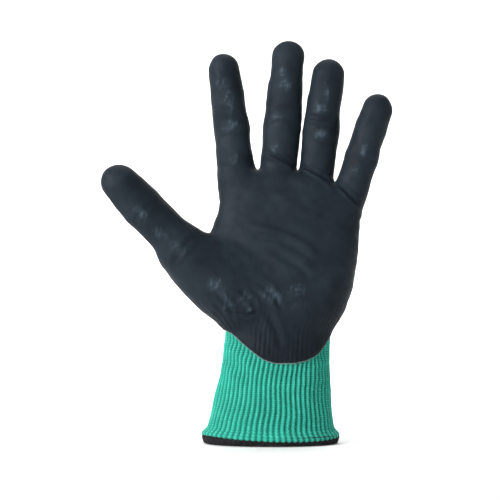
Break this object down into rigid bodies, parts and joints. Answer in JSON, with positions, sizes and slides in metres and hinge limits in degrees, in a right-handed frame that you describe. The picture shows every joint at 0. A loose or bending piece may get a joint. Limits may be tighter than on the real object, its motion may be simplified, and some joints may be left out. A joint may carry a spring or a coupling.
{
  "type": "cut resistant glove",
  "caption": "Left-hand cut resistant work glove: seamless knit liner with a long ribbed cuff, dark coating over the palm, fingers and thumb, and an overlocked hem.",
  "frame": {"origin": "centre of the wrist opening, in the plane of the hem's lower edge", "axes": "+Z towards the fingertips, -Y out of the palm, +X towards the little finger"},
  "size_m": [0.1807, 0.0606, 0.2506],
  "materials": {
    "liner_knit": "plain weft knit of green cut resistant yarn, matt",
    "cuff_knit": "rib knit of green yarn with elastic, matt",
    "coating": "dipped rubber coating, satin",
    "hem_thread": "black overlock thread",
    "elastic": "covered elastic yarn"
  },
  "bodies": {
    "hand": {"hem_overlock": "hem_thread", "knit_cuff": "cuff_knit", "cuff_elastic_1": "elastic", "cuff_elastic_2": "elastic", "cuff_elastic_3": "elastic", "cuff_elastic_4": "elastic", "knit_hand": "liner_knit", "coating_palm": "coating"},
    "thumb_proximal": {"knit_thumb_proximal": "liner_knit", "coating_thumb_proximal": "coating"},
    "thumb_distal": {"knit_thumb_distal": "liner_knit", "coating_thumb_distal": "coating"},
    "index_proximal": {"knit_index_proximal": "liner_knit", "coating_index_proximal": "coating"},
    "index_middle": {"knit_index_middle": "liner_knit", "coating_index_middle": "coating"},
    "index_distal": {"knit_index_distal": "liner_knit", "coating_index_distal": "coating"},
    "middle_proximal": {"knit_middle_proximal": "liner_knit", "coating_middle_proximal": "coating"},
    "middle_middle": {"knit_middle_middle": "liner_knit", "coating_middle_middle": "coating"},
    "middle_distal": {"knit_middle_distal": "liner_knit", "coating_middle_distal": "coating"},
    "ring_proximal": {"knit_ring_proximal": "liner_knit", "coating_ring_proximal": "coating"},
    "ring_middle": {"knit_ring_middle": "liner_knit", "coating_ring_middle": "coating"},
    "ring_distal": {"knit_ring_distal": "liner_knit", "coating_ring_distal": "coating"},
    "little_proximal": {"knit_little_proximal": "liner_knit", "coating_little_proximal": "coating"},
    "little_middle": {"knit_little_middle": "liner_knit", "coating_little_middle": "coating"},
    "little_distal": {"knit_little_distal": "liner_knit", "coating_little_distal": "coating"}
  },
  "joints": [
    {"name": "thumb_base_joint", "type": "hinge", "parent": "hand", "child": "thumb_proximal", "pos_m": [-0.05707, -0.01448, 0.12792], "axis": [0.4801, 0.6064, 0.6338], "range_deg": [-10, 45]},
    {"name": "thumb_tip_joint", "type": "hinge", "parent": "thumb_proximal", "child": "thumb_distal", "pos_m": [-0.07721, -0.01945, 0.14793], "axis": [0.4801, 0.6064, 0.6338], "range_deg": [0, 70]},
    {"name": "index_knuckle", "type": "hinge", "parent": "hand", "child": "index_proximal", "pos_m": [-0.02198, -0.00309, 0.17628], "axis": [0.9987, 0, 0.0502], "range_deg": [-10, 60]},
    {"name": "index_middle_joint", "type": "hinge", "parent": "index_proximal", "child": "index_middle", "pos_m": [-0.02435, -0.0044, 0.19484], "axis": [0.9987, 0, 0.0502], "range_deg": [0, 85]},
    {"name": "index_tip_joint", "type": "hinge", "parent": "index_middle", "child": "index_distal", "pos_m": [-0.02708, -0.00741, 0.21618], "axis": [0.9987, 0, 0.0502], "range_deg": [0, 51]},
    {"name": "middle_knuckle", "type": "hinge", "parent": "hand", "child": "middle_proximal", "pos_m": [0.00536, -0.00309, 0.1768], "axis": [0.9994, 0, -0.0342], "range_deg": [-10, 60]},
    {"name": "middle_middle_joint", "type": "hinge", "parent": "middle_proximal", "child": "middle_middle", "pos_m": [0.00723, -0.00461, 0.19843], "axis": [0.9994, 0, -0.0342], "range_deg": [0, 85]},
    {"name": "middle_tip_joint", "type": "hinge", "parent": "middle_middle", "child": "middle_distal", "pos_m": [0.00922, -0.00783, 0.22134], "axis": [0.9994, 0, -0.0342], "range_deg": [0, 51]},
    {"name": "ring_knuckle", "type": "hinge", "parent": "hand", "child": "ring_proximal", "pos_m": [0.02922, -0.00309, 0.17369], "axis": [0.9989, 0, -0.0461], "range_deg": [-10, 60]},
    {"name": "ring_middle_joint", "type": "hinge", "parent": "ring_proximal", "child": "ring_middle", "pos_m": [0.03145, -0.00443, 0.19277], "axis": [0.9989, 0, -0.0461], "range_deg": [0, 85]},
    {"name": "ring_tip_joint", "type": "hinge", "parent": "ring_middle", "child": "ring_distal", "pos_m": [0.03396, -0.00745, 0.21413], "axis": [0.9989, 0, -0.0461], "range_deg": [0, 51]},
    {"name": "little_knuckle", "type": "hinge", "parent": "hand", "child": "little_proximal", "pos_m": [0.05242, -0.00309, 0.16407], "axis": [0.9926, 0, -0.1212], "range_deg": [-10, 60]},
    {"name": "little_middle_joint", "type": "hinge", "parent": "little_proximal", "child": "little_middle", "pos_m": [0.05717, -0.00417, 0.17906], "axis": [0.9926, 0, -0.1212], "range_deg": [0, 85]},
    {"name": "little_tip_joint", "type": "hinge", "parent": "little_middle", "child": "little_distal", "pos_m": [0.0622, -0.00646, 0.19485], "axis": [0.9926, 0, -0.1212], "range_deg": [0, 51]}
  ],
  "couplings": [
    {"joint": "index_tip_joint", "follows": "index_middle_joint", "ratio": 0.6},
    {"joint": "middle_tip_joint", "follows": "middle_middle_joint", "ratio": 0.6},
    {"joint": "ring_tip_joint", "follows": "ring_middle_joint", "ratio": 0.6},
    {"joint": "little_tip_joint", "follows": "little_middle_joint", "ratio": 0.6}
  ]
}
